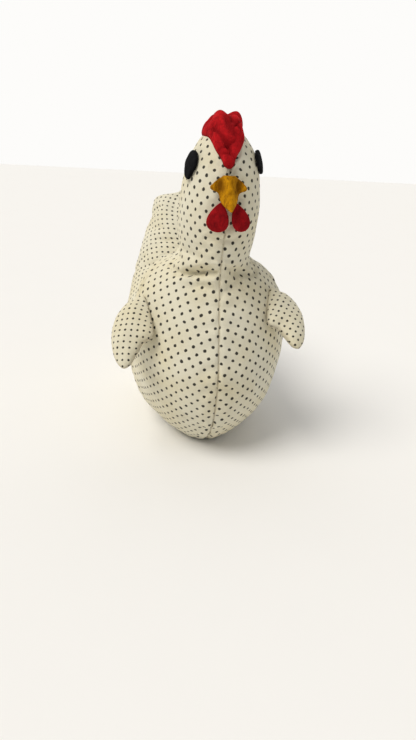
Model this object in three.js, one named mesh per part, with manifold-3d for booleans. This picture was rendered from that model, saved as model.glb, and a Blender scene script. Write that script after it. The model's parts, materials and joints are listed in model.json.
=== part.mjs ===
// Sewn and stuffed cotton hen with felt comb, beak, wattles and eyes.
// Millimetres. The hen faces -Y, +Z is up, +X is the hen's own left. The origin is on the underside.
import * as THREE from "three";
import { mergeVertices } from "three/addons/utils/BufferGeometryUtils.js";
import Module from "manifold-3d";

const wasm = await Module();
wasm.setup();

// Body stations from the top of the head (first) down the breast, along the belly and up to the tail top (last).
// Each: outer curve y, z | saddle-side curve y, z | half width, fullness towards the saddle, sideways lean.
const STATIONS = [
  [-17, 131, -17, 131, 0, 0, 1.4],
  [-22.5, 129.9, -11, 130.1, 4.4, 0, 1.3],
  [-28, 126, -5.5, 126.6, 8.8, 0, 1.1],
  [-32, 119.5, -1.5, 120.5, 12.3, 0, 1.2],
  [-35, 111, 1.5, 112, 14.2, 0, 0.9],
  [-36.6, 101, 3.2, 102, 15, 0, 0.6],
  [-36, 92, 3.4, 94, 14.5, 0, 0.2],
  [-34, 84, 3.6, 88, 14.4, 0, 0.1],
  [-33, 76.5, 5, 83, 17.7, 0.05, 0.1],
  [-35.5, 68, 8, 78.5, 23.5, 0.12, 0.1],
  [-41, 56, 12, 74.5, 28.5, 0.14, 0],
  [-45, 38, 16, 71, 31.8, 0.14, 0],
  [-39, 17, 20, 69, 32.5, 0.12, 0],
  [-22, 1.2, 24, 68, 33.2, 0.12, 0],
  [0, -3.4, 28, 68, 34, 0.12, 0],
  [20, -2.6, 32, 69, 35, 0.12, 0],
  [39, 5, 36, 71, 35, 0.1, 0],
  [55, 19, 39.5, 74.5, 33.5, 0.06, -0.3],
  [65.5, 37.5, 43, 79.5, 30.5, 0.03, -1.5],
  [72.5, 56, 47.5, 85.5, 25.5, 0, -3.2],
  [77, 75, 54, 92.5, 20.5, 0, -4.6],
  [77, 89, 61.5, 98.5, 15.8, 0, -5.0],
  [70.5, 96.5, 70.5, 96.5, 0, 0, -5.0],
];
// Seam between the front and back panels, from the edge of the base up over the shoulder to the saddle.
// Each: place along the stations (0 to 1), angle round the body in degrees (0 is the breast line).
const SIDE_SEAM = [
  [0.615, 50],
  [0.59, 73],
  [0.55, 88],
  [0.5, 92],
  [0.465, 94],
  [0.442, 100],
  [0.425, 115],
  [0.41, 140],
  [0.402, 162],
  [0.4, 180],
];

const CLOTH = 0.6; // cotton with its turned seam allowance
const FILL_DEPTH = 1.6; // filling surface below the outside of the cloth
const SEAM_GAP = 0.5; // each panel stops this far short of its seam line
const THREAD_RADIUS = 0.17;
const THREAD_DEPTH = 0.42;
const BASE_STEPS = 5; // points along the foot of a panel
const SEAM_STEPS = 14; // points along one side seam
const FRONT_ROWS = 19;
const BACK_ROWS = 15;
const BASE_INSET = 1.6; // base panel edge in from the foot of the other panels
const BASE_THREAD_INSET = 0.95;

const NECK_PIVOT = [-14.5, 82]; // y, z of the sideways bending line
const NECK_RADIUS = 20;
const NECK_SPLIT = 4; // half the height left free at the split for the nod
const TAIL_PIVOT = [50, 51];
const TAIL_RADIUS = 26;
const TAIL_SPLIT = 4.6;
const TAIL_DIRECTION = [0.47, 0.883];
const JOINT_GAP = 0.4;

const CROWN_CENTRE = [1.6, -17, 104]; // ellipsoid that follows the top of the head
const CROWN_SIZE = [16.3, 19.8, 27.4];
const COMB_GAP = 0.6;
const COMB_SLOPE = [37, 128]; // degrees from the face over the crown: forehead tip, back end
// Edges of the comb at even steps along it, in degrees sideways: the hen's right, the hen's left.
const COMB_EDGES = [
  [-6.4, 1.6],
  [-9.7, 3.6],
  [-13.6, 8.3],
  [-15.8, 11],
  [-17.5, 9.6],
  [-20, 11],
  [-20.8, 13],
  [-20, 11],
  [-18, 10],
  [-14, 8],
  [-8, 5],
];

const BEAK_TOP = [0.5, 114.7]; // x, z
const BEAK_HEIGHT = 11.1;
const BEAK_REACH = 2.7;
const WATTLE_THICK = 1.5;
const EYE_THICK = 1.2;
// An eye's place is along the stations and in degrees round from the breast line, its size is width and height.
const EYES = {
  eye_left: { side: 1, place: [0.141, 66], size: [7.4, 8.4] },
  eye_right: { side: -1, place: [0.152, 66], size: [7.4, 10.2] },
};

const WING_AXIS = [-0.19, -0.88, -0.65]; // root line, back to front
const WING_THICK = 4.6; // half thickness at the middle
// A wing's place is along the stations and in degrees round from the breast line, and its root is lifted off the body.
// Outline of a wing, [out from the root, forward along the root].
const WING_OUTLINE = [
  [0, -9],
  [3.4, -9.7],
  [7.6, -8],
  [12, -3.6],
  [15, 3.2],
  [16, 9.5],
  [15.6, 16],
  [13.4, 20.4],
  [10.2, 20],
  [7, 16.6],
  [3.4, 12.4],
  [0, 8.8],
];
const WINGS = [
  { name: "wing_left", side: 1, scale: 0.85, droop: 6, place: [0.44, 60], lift: 2.1 },
  { name: "wing_right", side: -1, scale: 0.95, droop: 20, place: [0.465, 68], lift: 2.9 },
];

const FINISH = {
  cotton: { color: 0xe9e3cd, roughness: 0.95 },
  filling: { color: 0xf3f1ea, roughness: 1 },
  red_felt: { color: 0xb5161c, roughness: 1 },
  dark_red_felt: { color: 0x9a1218, roughness: 1 },
  gold_felt: { color: 0xc68a12, roughness: 1 },
  black_felt: { color: 0x141416, roughness: 1 },
  thread: { color: 0xd8d0b6, roughness: 0.8 },
};

const vec = (x, y, z) => new THREE.Vector3(x, y, z);
const mix = (a, b, w) => a + (b - a) * w;
const radians = THREE.MathUtils.degToRad;

function curve(points) {
  return new THREE.CatmullRomCurve3(points, false, "catmullrom", 0.5);
}

const outerCurve = curve(STATIONS.map((s) => vec(0, s[0], s[1])));
const saddleCurve = curve(STATIONS.map((s) => vec(0, s[2], s[3])));
const widthCurve = curve(STATIONS.map((s) => vec(s[4], s[5], s[6])));

// Outside of the body: a rib at place t, an oval between the outer and the saddle-side curve.
function skin(t, angle) {
  const outer = outerCurve.getPoint(t);
  const saddle = saddleCurve.getPoint(t);
  const width = widthCurve.getPoint(t);
  const c = Math.cos(angle);
  const x = Math.max(width.x, 0) * Math.sin(angle) * (1 - width.y * c);
  return vec(
    width.z + x,
    (outer.y + saddle.y) / 2 + ((outer.y - saddle.y) / 2) * c,
    (outer.z + saddle.z) / 2 + ((outer.z - saddle.z) / 2) * c,
  );
}

// Unit vector out of the body at a place on the skin.
function skinNormal(t, angle) {
  if (t < 0.002 || t > 0.998) {
    const near = t < 0.5 ? 0.03 : 0.97;
    const middle = skin(near, 0).add(skin(near, Math.PI)).multiplyScalar(0.5);
    return skin(t, 0).sub(middle).normalize();
  }
  const step = 0.002;
  const along = skin(t + step, angle).sub(skin(t - step, angle));
  const round = skin(t, angle + step).sub(skin(t, angle - step));
  return round.cross(along).normalize().negate();
}

function below(t, angle, depth) {
  return skin(t, angle).addScaledVector(skinNormal(t, angle), -depth);
}

function signedVolume(positions, index) {
  const a = vec(0, 0, 0);
  const b = vec(0, 0, 0);
  const c = vec(0, 0, 0);
  let total = 0;
  for (let i = 0; i < index.length; i += 3) {
    a.fromArray(positions, index[i] * 3);
    b.fromArray(positions, index[i + 1] * 3);
    c.fromArray(positions, index[i + 2] * 3);
    total += a.dot(b.cross(c));
  }
  return total / 6;
}

// Closed body from a list of points and triangles: equal points joined, empty triangles dropped, faces turned out.
function closedBody(points, triangles) {
  const raw = new THREE.BufferGeometry();
  const flat = new Float32Array(points.flatMap((p) => [p.x, p.y, p.z]));
  raw.setAttribute("position", new THREE.BufferAttribute(flat, 3));
  raw.setIndex(triangles.flat());
  const merged = mergeVertices(raw, 1e-4);
  const source = merged.index.array;
  const index = [];
  for (let i = 0; i < source.length; i += 3) {
    const [a, b, c] = [source[i], source[i + 1], source[i + 2]];
    if (a !== b && b !== c && a !== c) {
      index.push(a, b, c);
    }
  }
  if (signedVolume(merged.attributes.position.array, index) < 0) {
    for (let i = 0; i < index.length; i += 3) {
      [index[i], index[i + 1]] = [index[i + 1], index[i]];
    }
  }
  merged.setIndex(index);
  return merged;
}

// Two facing grids of points joined along their four edges.
function slab(front, back) {
  const rows = front.length;
  const cols = front[0].length;
  const points = [...front.flat(), ...back.flat()];
  const at = (layer, i, j) => layer * rows * cols + i * cols + j;
  const triangles = [];
  const quad = (a, b, c, d) => triangles.push([a, b, c], [a, c, d]);
  for (let i = 0; i < rows - 1; i++) {
    for (let j = 0; j < cols - 1; j++) {
      quad(at(0, i, j), at(0, i, j + 1), at(0, i + 1, j + 1), at(0, i + 1, j));
      quad(at(1, i, j), at(1, i + 1, j), at(1, i + 1, j + 1), at(1, i, j + 1));
    }
  }
  for (let i = 0; i < rows - 1; i++) {
    quad(at(0, i, 0), at(0, i + 1, 0), at(1, i + 1, 0), at(1, i, 0));
    quad(at(0, i + 1, cols - 1), at(0, i, cols - 1), at(1, i, cols - 1), at(1, i + 1, cols - 1));
  }
  for (let j = 0; j < cols - 1; j++) {
    quad(at(0, 0, j + 1), at(0, 0, j), at(1, 0, j), at(1, 0, j + 1));
    quad(at(0, rows - 1, j), at(0, rows - 1, j + 1), at(1, rows - 1, j + 1), at(1, rows - 1, j));
  }
  return closedBody(points, triangles);
}

// Rings of points joined one to the next; the ends are closed to a point, or to each other when looped.
function ringBody(rings, looped = false) {
  const count = rings.length;
  const size = rings[0].length;
  const points = rings.flat();
  const triangles = [];
  const last = looped ? count : count - 1;
  for (let i = 0; i < last; i++) {
    for (let j = 0; j < size; j++) {
      const a = i * size + j;
      const b = i * size + ((j + 1) % size);
      const c = ((i + 1) % count) * size + ((j + 1) % size);
      const d = ((i + 1) % count) * size + j;
      triangles.push([a, b, c], [a, c, d]);
    }
  }
  if (!looped) {
    for (const [end, flip] of [[0, true], [count - 1, false]]) {
      for (let j = 1; j < size - 1; j++) {
        const face = [end * size, end * size + j, end * size + j + 1];
        triangles.push(flip ? face.reverse() : face);
      }
    }
  }
  return closedBody(points, triangles);
}

// Round thread along a list of places.
function thread(places, looped = false) {
  const rings = places.map((p, i) => {
    const before = looped ? places.at(i - 1) : places[Math.max(i - 1, 0)];
    const after = looped ? places[(i + 1) % places.length] : places[Math.min(i + 1, places.length - 1)];
    const forward = after.clone().sub(before).normalize();
    const side = forward.clone().cross(p.clone().sub(vec(0, 8, 44)).normalize()).normalize();
    const up = side.clone().cross(forward);
    return [0, 1, 2, 3].map((k) => {
      const turn = (k * Math.PI) / 2;
      return p
        .clone()
        .addScaledVector(side, THREAD_RADIUS * Math.cos(turn))
        .addScaledVector(up, THREAD_RADIUS * Math.sin(turn));
    });
  });
  return ringBody(rings, looped);
}

function toManifold(geometry) {
  const copy = geometry.clone();
  copy.deleteAttribute("normal");
  copy.deleteAttribute("uv");
  const joined = mergeVertices(copy, 1e-4);
  return new wasm.Manifold(
    new wasm.Mesh({
      numProp: 3,
      vertProperties: new Float32Array(joined.attributes.position.array),
      triVerts: new Uint32Array(joined.index.array),
    }),
  );
}

function fromManifold(solid) {
  const mesh = solid.getMesh();
  const geometry = new THREE.BufferGeometry();
  geometry.setAttribute("position", new THREE.BufferAttribute(new Float32Array(mesh.vertProperties), 3));
  geometry.setIndex(Array.from(mesh.triVerts));
  return geometry;
}

const hen = new THREE.Group();
hen.name = "stuffed_hen";

function add(name, geometry, finish) {
  geometry.computeVertexNormals();
  const material = new THREE.MeshStandardMaterial({ metalness: 0, ...FINISH[finish] });
  const mesh = new THREE.Mesh(geometry, material);
  mesh.name = name;
  hen.add(mesh);
}

// ---- Edge of the flat base: where a rib meets the level z = 0 ----

function baseAngle(t) {
  const outer = outerCurve.getPoint(t).z;
  const saddle = saddleCurve.getPoint(t).z;
  const c = (outer + saddle) / (saddle - outer);
  return Math.acos(THREE.MathUtils.clamp(c, -1, 1));
}

function baseEnd(from, to) {
  let [high, low] = [from, to];
  for (let k = 0; k < 40; k++) {
    const middle = (high + low) / 2;
    if (outerCurve.getPoint(middle).z > 0) {
      high = middle;
    } else {
      low = middle;
    }
  }
  return low;
}

const baseFront = baseEnd(0.55, 0.636);
const baseBack = baseEnd(0.73, 0.66);
const baseJoin = 0.632;
const seamStops = [
  vec(baseJoin, baseAngle(baseJoin), 0),
  ...SIDE_SEAM.map(([t, degrees]) => vec(t, radians(degrees), 0)),
];
const seamCurve = curve(seamStops);
const seamTrace = curve(seamStops.map((p) => skin(p.x, p.y)));

// Place on the side seam, w of its length up from the base.
function seamPlace(w) {
  const p = seamCurve.getPoint(seamTrace.getUtoTmapping(w));
  return [p.x, p.y];
}

// Rim of a panel from the centre line of the base, round the base to the side seam and up to the saddle.
function rim(start, baseCount, seamCount) {
  const places = [];
  for (let k = 0; k < baseCount; k++) {
    const t = mix(start, baseJoin, (k / baseCount) ** 2);
    places.push([t, k === 0 ? 0 : baseAngle(t)]);
  }
  for (let k = 0; k <= seamCount; k++) {
    places.push(seamPlace(k / seamCount));
  }
  return places;
}

// One quarter of the cover, between its rim and the pole at the head top or the tail top.
function panel(side, start, pole, rows) {
  const edge = rim(start, BASE_STEPS, SEAM_STEPS);
  const place = (u, k) => {
    const [t, angle] = edge[k];
    const even = (k / (edge.length - 1)) * Math.PI;
    const spread = u * u * (3 - 2 * u);
    return [mix(pole, t, u), mix(even, angle, spread)];
  };
  const front = [];
  const back = [];
  const span = edge.map((_, k) => {
    const onBase = k > 0 && k < BASE_STEPS;
    const gap = onBase ? 0.05 : SEAM_GAP;
    const speed = skin(...place(1, k)).distanceTo(skin(...place(0.96, k))) / 0.04;
    return 1 - gap / speed;
  });
  for (let i = 0; i <= rows; i++) {
    const outside = [];
    const inside = [];
    for (let k = 0; k < edge.length; k++) {
      const [t, angle] = place((i / rows) * span[k], k);
      const shift = vec(side * SEAM_GAP, 0, 0);
      const mirror = vec(2 * widthCurve.getPoint(t).z, 0, 0);
      const [p, q] = [below(t, angle, 0), below(t, angle, CLOTH)];
      if (side < 0) {
        p.x = mirror.x - p.x;
        q.x = mirror.x - q.x;
      }
      p.z = Math.max(p.z, 0);
      q.z = Math.max(q.z, 0.3);
      outside.push(p.add(shift));
      inside.push(q.add(shift));
    }
    front.push(outside);
    back.push(inside);
  }
  return slab(front, back);
}

add("front_panel_left", panel(1, baseFront, 0, FRONT_ROWS), "cotton");
add("front_panel_right", panel(-1, baseFront, 0, FRONT_ROWS), "cotton");
add("back_panel_left", panel(1, baseBack, 1, BACK_ROWS), "cotton");
add("back_panel_right", panel(-1, baseBack, 1, BACK_ROWS), "cotton");

// ---- Flat base panel ----

const baseCentreY = (skin(baseFront, 0).y + skin(baseBack, 0).y) / 2;

function baseRing(inset, count) {
  const half = [];
  for (let k = 0; k <= count; k++) {
    const t = mix(baseFront, baseBack, 0.5 - 0.5 * Math.cos((k * Math.PI) / count));
    const p = skin(t, k === 0 || k === count ? 0 : baseAngle(t));
    const reach = Math.hypot(p.x, p.y - baseCentreY);
    const keep = (reach - inset) / reach;
    half.push([p.x * keep, baseCentreY + (p.y - baseCentreY) * keep]);
  }
  const mirrored = half.slice(1, -1).reverse().map(([x, y]) => [-x, y]);
  return [...half, ...mirrored];
}

const baseShape = new THREE.Shape(baseRing(BASE_INSET, 12).map(([x, y]) => new THREE.Vector2(x, y)));
const basePanel = new THREE.ExtrudeGeometry(baseShape, { depth: CLOTH, bevelEnabled: false });
basePanel.deleteAttribute("normal");
basePanel.deleteAttribute("uv");
add("base_panel", mergeVertices(basePanel, 1e-4), "cotton");

// ---- Seam threads ----

function seamRun(stops) {
  return stops.map(([t, angle]) => {
    const p = below(t, angle, THREAD_DEPTH);
    p.z = Math.max(p.z, THREAD_RADIUS + 0.02);
    return p;
  });
}

// The threads turn at the same places as the panel edges beside them.
const places = (count, from, to, angle) =>
  Array.from({ length: count }, (_, k) => [mix(from, to, k / count), angle]);
const headSeam = [
  ...places(FRONT_ROWS, SIDE_SEAM.at(-1)[0], 0, Math.PI).slice(1),
  ...places(FRONT_ROWS, 0, baseFront, 0),
];
const tailSeam = [
  ...places(BACK_ROWS, SIDE_SEAM.at(-1)[0], 1, Math.PI).slice(1),
  ...places(BACK_ROWS, 1, baseBack, 0),
];
const seamHalf = Array.from({ length: SEAM_STEPS }, (_, k) => seamPlace(Math.max(k, 0.25) / SEAM_STEPS));
const saddleStop = [SIDE_SEAM.at(-1)[0], Math.PI];
const rightHalf = seamHalf.map(([t, angle]) => [t, -angle]);
add("centre_front_thread", thread(seamRun(headSeam)), "thread");
add("centre_back_thread", thread(seamRun(tailSeam)), "thread");
add("side_seam_thread", thread(seamRun([...rightHalf, saddleStop, ...seamHalf.reverse()])), "thread");
const baseLoop = baseRing(BASE_THREAD_INSET, 14).map(([x, y]) => vec(x, y, THREAD_RADIUS + 0.02));
add("base_seam_thread", thread(baseLoop, true), "thread");

// ---- Filling, split where the neck and the tail bend ----

const fillRings = [];
for (let i = 0; i <= 36; i++) {
  const t = i / 36;
  const ring = [];
  for (let j = 0; j < 20; j++) {
    const p = below(t, (j / 20) * 2 * Math.PI, FILL_DEPTH);
    p.z = Math.max(p.z, FILL_DEPTH);
    ring.push(p);
  }
  fillRings.push(ring);
}
const core = toManifold(ringBody(fillRings));

function bendCylinder([y, z], radius) {
  const geometry = new THREE.CylinderGeometry(radius, radius, 120, 40);
  geometry.rotateZ(Math.PI / 2);
  geometry.translate(0, y, z);
  return toManifold(geometry);
}

// Everything beyond a plane across the bending line, on the side the direction points to.
function beyond([y, z], [dy, dz], offset) {
  const geometry = new THREE.BoxGeometry(200, 200, 200);
  geometry.translate(0, 0, 100);
  geometry.rotateX(-Math.atan2(dy, dz));
  geometry.translate(0, y + dy * offset, z + dz * offset);
  return toManifold(geometry);
}

const frontHalf = toManifold(new THREE.BoxGeometry(200, 82, 300).translate(0, -29.5, 100));
const backHalf = toManifold(new THREE.BoxGeometry(200, 100, 300).translate(0, 79, 100));
const neckUp = [0, 1];
const headRegion = beyond(NECK_PIVOT, neckUp, NECK_SPLIT).intersect(frontHalf);
const neckRegion = beyond(NECK_PIVOT, neckUp, -NECK_SPLIT).intersect(frontHalf);
const tailRegion = beyond(TAIL_PIVOT, TAIL_DIRECTION, TAIL_SPLIT).intersect(backHalf);
const rumpRegion = beyond(TAIL_PIVOT, TAIL_DIRECTION, -TAIL_SPLIT).intersect(backHalf);
const neckBall = bendCylinder(NECK_PIVOT, NECK_RADIUS);
const rumpBall = bendCylinder(TAIL_PIVOT, TAIL_RADIUS);

const headFill = core.intersect(headRegion).subtract(bendCylinder(NECK_PIVOT, NECK_RADIUS + JOINT_GAP));
const tailFill = core.intersect(tailRegion).subtract(bendCylinder(TAIL_PIVOT, TAIL_RADIUS + JOINT_GAP));
const bodyFill = core
  .subtract(neckRegion.subtract(neckBall))
  .subtract(rumpRegion.subtract(rumpBall));
const largest = (solid) => solid.decompose().sort((a, b) => b.volume() - a.volume())[0];
add("head_filling", fromManifold(largest(headFill)), "filling");
add("body_filling", fromManifold(largest(bodyFill)), "filling");
add("tail_filling", fromManifold(largest(tailFill)), "filling");

// ---- Wings: two cloth lobes sewn edge to edge round a filling ----

// Point of a lobe: r runs from its middle (0) to its sewn edge (1); lift is the half thickness at the middle.
function lobe(outline, k, r, lift, shrink) {
  const middle = [7.2, 4.6];
  const [p, q] = outline[k];
  const reach = Math.hypot(p - middle[0], q - middle[1]);
  const keep = (r * (reach - shrink)) / reach;
  const swell = Math.sqrt(Math.max(0, 1 - r * r)) ** 1.15;
  return [middle[0] + (p - middle[0]) * keep, middle[1] + (q - middle[1]) * keep, lift * swell];
}

for (const { name, side, scale, droop, place, lift } of WINGS) {
  const along = vec(side * WING_AXIS[0], WING_AXIS[1], WING_AXIS[2]).normalize();
  const flat = vec(side, 0, 0).addScaledVector(along, -side * along.x).normalize();
  const over = along.clone().cross(flat).multiplyScalar(side);
  const tilt = radians(droop);
  const out = flat.clone().multiplyScalar(Math.cos(tilt)).addScaledVector(over, -Math.sin(tilt));
  const up = over.clone().multiplyScalar(Math.cos(tilt)).addScaledVector(flat, Math.sin(tilt));
  const root = below(place[0], side * radians(place[1]), -lift);
  const toHen = ([p, q, h]) =>
    root
      .clone()
      .addScaledVector(out, p * scale)
      .addScaledVector(along, q * scale)
      .addScaledVector(up, h * scale);
  const loop = [...WING_OUTLINE.keys(), 0];
  const grid = (height, shrink, drop) =>
    [0.02, 0.4, 0.7, 0.9, 1].map((r) =>
      loop.map((k) => {
        const [p, q, h] = lobe(WING_OUTLINE, k, r, Math.abs(height), shrink);
        return toHen([p, q, Math.sign(height) * (h + drop)]);
      }),
    );
  for (const [cover, sign] of [["upper", 1], ["under", -1]]) {
    const rings = [grid(sign * WING_THICK, 0, 0.15 + CLOTH), grid(sign * WING_THICK, 0, 0.15)];
    const points = [...rings[0].map((ring) => ring.slice(0, -1)), ...rings[1].map((ring) => ring.slice(0, -1)).reverse()];
    add(`${name}_${cover}`, ringBody(points), "cotton");
  }
  const upper = grid(WING_THICK - 0.2, 1, 0).map((ring) => ring.slice(0, -1));
  const under = grid(-(WING_THICK - 0.2), 1, 0).map((ring) => ring.slice(0, -1));
  add(`${name}_filling`, ringBody([...upper, ...under.reverse().slice(1)]), "filling");
}

// ---- Comb: crumpled felt cap from the forehead over the crown ----

function crownPoint(slope, sideways, lift) {
  const direction = vec(
    Math.sin(sideways),
    -Math.cos(sideways) * Math.cos(slope),
    Math.cos(sideways) * Math.sin(slope),
  );
  const size = vec(...CROWN_SIZE);
  const reach = 1 / direction.clone().divide(size).length();
  return direction.multiplyScalar(reach + COMB_GAP + lift).add(vec(...CROWN_CENTRE));
}

// Height of the comb over the head: w runs from the forehead tip to the back, v over its width, sideways in degrees.
function combLift(w, v, sideways) {
  const ends = Math.sin(Math.PI * Math.min(1, w * 0.92 + 0.08)) ** 0.6;
  const lobes = 0.9 * Math.exp(-(((sideways + 6) / 4) ** 2)) + 1.3 * Math.exp(-(((sideways - 5.5) / 3.5) ** 2));
  const crumple = 0.3 * Math.sin(7 * w + 3 * v) + 0.2 * Math.sin(11 * w - 5 * v);
  const edge = Math.sqrt(Math.max(0, 1 - v * v * v * v));
  return (1.2 + (1.7 + lobes) * ends) * edge + crumple * edge * ends;
}

const combEdges = curve(COMB_EDGES.map(([right, left]) => vec(right, left, 0)));
const combTop = [];
const combUnder = [];
for (let i = 0; i <= 12; i++) {
  const w = i / 12;
  const slope = radians(mix(...COMB_SLOPE, w));
  const edges = combEdges.getPoint(w);
  const top = [];
  const under = [];
  for (let j = 0; j <= 10; j++) {
    const v = (j / 10) * 2 - 1;
    const degrees = mix(edges.x, edges.y, (v + 1) / 2);
    top.push(crownPoint(slope, radians(degrees), 0.9 + combLift(w, v, degrees)));
    under.push(crownPoint(slope, radians(degrees), 0));
  }
  combTop.push(top);
  combUnder.push(under);
}
add("comb", slab(combTop, combUnder), "red_felt");

// ---- Beak: felt kite folded down its middle, with a flared foot on each side ----

const beakWidth = curve([vec(1.8, 0, 0), vec(5.4, 0, 0), vec(6.9, 0, 0), vec(4.2, 0, 0), vec(2.7, 0, 0), vec(0.5, 0, 0)]);
const beakFront = [];
const beakBack = [];
for (let i = 0; i <= 10; i++) {
  const w = i / 10;
  const half = Math.max(beakWidth.getPoint(w).x, 0.4);
  const level = BEAK_TOP[1] - BEAK_HEIGHT * w;
  const reach = 1.6 + BEAK_REACH * w ** 1.35;
  const front = [];
  const back = [];
  for (let j = 0; j <= 8; j++) {
    const v = (j / 8) * 2 - 1;
    const ridge = Math.exp(-((v * half) ** 2) / 7);
    const face = -35.6 - 1.1 * Math.sin(Math.PI * Math.min(w, 0.6)) + 0.022 * (v * half) ** 2;
    const foot = 0.6 + Math.max(0, w - 0.5) * reach * 1.7;
    front.push(vec(BEAK_TOP[0] + v * half, face - foot - 1.1 - reach * ridge * (1 - 0.55 * Math.max(0, w - 0.55)), level));
    back.push(vec(BEAK_TOP[0] + v * half, face - foot, level));
  }
  beakFront.push(front);
  beakBack.push(back);
}
add("beak", slab(beakFront, beakBack), "gold_felt");

// ---- Wattles: two felt drops hung below the beak ----

const WATTLES = [
  { name: "wattle_left", top: [3.1, -37.7, 105.8], turn: 17, wide: 4.1, long: 9.9 },
  { name: "wattle_right", top: [-1.9, -37.7, 105.8], turn: -9, wide: 4.8, long: 9.8 },
];
for (const { name, top, turn, wide, long } of WATTLES) {
  const shape = new THREE.Shape();
  shape.moveTo(-1.3, 0);
  shape.bezierCurveTo(-wide * 0.8, -long * 0.3, -wide * 1.35, -long * 0.97, 0, -long);
  shape.bezierCurveTo(wide * 1.35, -long * 0.97, wide * 0.8, -long * 0.3, 1.3, 0);
  const felt = new THREE.ExtrudeGeometry(shape, { depth: WATTLE_THICK, bevelEnabled: false, curveSegments: 8 });
  felt.deleteAttribute("normal");
  felt.deleteAttribute("uv");
  felt.translate(0, 0, -WATTLE_THICK / 2);
  felt.rotateZ(radians(turn));
  felt.rotateX(Math.PI / 2);
  felt.scale(1, -1, 1);
  felt.translate(top[0], top[1], top[2]);
  const merged = mergeVertices(felt, 1e-4);
  const points = [];
  const position = merged.attributes.position;
  for (let k = 0; k < position.count; k++) {
    points.push(vec(position.getX(k), position.getY(k), position.getZ(k)));
  }
  const faces = [];
  for (let k = 0; k < merged.index.count; k += 3) {
    faces.push([merged.index.getX(k), merged.index.getX(k + 1), merged.index.getX(k + 2)]);
  }
  add(name, closedBody(points, faces), "dark_red_felt");
}

// ---- Eyes: oval felt patches on the sides of the head ----

for (const [name, { side, place, size }] of Object.entries(EYES)) {
  const centre = [place[0], side * radians(place[1])];
  const perT = skin(centre[0] + 0.01, centre[1]).distanceTo(skin(centre[0] - 0.01, centre[1])) / 0.02;
  const perAngle = skin(centre[0], centre[1] + 0.05).distanceTo(skin(centre[0], centre[1] - 0.05)) / 0.1;
  const rings = [];
  const layers = [
    [0.05, -0.75],
    [0.6, -0.75],
    [1, -0.75],
    [1.02, -0.75 - EYE_THICK * 0.6],
    [0.9, -0.75 - EYE_THICK],
    [0.5, -0.8 - EYE_THICK],
    [0.05, -0.85 - EYE_THICK],
  ];
  for (const [r, depth] of layers) {
    const ring = [];
    for (let k = 0; k < 16; k++) {
      const turn = (k / 16) * 2 * Math.PI;
      const across = (r * size[0] * Math.cos(turn)) / 2 / perAngle;
      const down = (r * size[1] * Math.sin(turn)) / 2 / perT;
      const p = below(centre[0] + down, centre[1] + across, depth);
      p.x += side * SEAM_GAP;
      ring.push(p);
    }
    rings.push(ring);
  }
  add(name, ringBody(rings), "black_felt");
}

export default hen;
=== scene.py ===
"""Looks of a sewn and stuffed cotton hen with felt comb, beak, wattles and eyes, built round its frame.

Shapes are worked out in millimetres and turned to metres when a mesh is made. The hen faces -Y, and +X is
its own left.
"""

import json
import math
from functools import partial

import bmesh
import bpy
import numpy as np
from bpy.props import FloatProperty, FloatVectorProperty, PointerProperty, StringProperty
from mathutils import Matrix, Vector


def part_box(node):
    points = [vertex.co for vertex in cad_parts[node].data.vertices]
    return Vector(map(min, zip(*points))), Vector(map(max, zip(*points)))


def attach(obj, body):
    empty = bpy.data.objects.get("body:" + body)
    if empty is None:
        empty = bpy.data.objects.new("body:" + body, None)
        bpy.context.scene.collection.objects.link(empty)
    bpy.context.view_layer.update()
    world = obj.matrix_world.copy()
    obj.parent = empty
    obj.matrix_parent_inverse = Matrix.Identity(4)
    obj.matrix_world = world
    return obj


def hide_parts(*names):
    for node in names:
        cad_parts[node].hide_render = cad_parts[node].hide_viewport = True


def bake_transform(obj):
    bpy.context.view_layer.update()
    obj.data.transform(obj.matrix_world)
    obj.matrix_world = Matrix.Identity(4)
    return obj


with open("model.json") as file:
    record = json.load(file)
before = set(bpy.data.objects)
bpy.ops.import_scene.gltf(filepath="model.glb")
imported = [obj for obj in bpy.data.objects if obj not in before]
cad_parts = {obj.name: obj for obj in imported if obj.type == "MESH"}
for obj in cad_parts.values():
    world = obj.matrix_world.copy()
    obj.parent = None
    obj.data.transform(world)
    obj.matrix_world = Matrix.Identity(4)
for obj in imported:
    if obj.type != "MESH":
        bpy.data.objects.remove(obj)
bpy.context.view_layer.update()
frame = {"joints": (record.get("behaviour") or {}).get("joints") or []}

bl_info = {
    "name": "Stuffed cotton hen",
    "version": (1, 0, 0),
    "blender": (4, 5, 0),
    "location": "3D View > Sidebar > Hen",
    "description": "Sewn cotton cover, felt pieces, stitches, filling and stage for the stuffed hen",
    "category": "Add Mesh",
}

MM = 0.001

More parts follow.
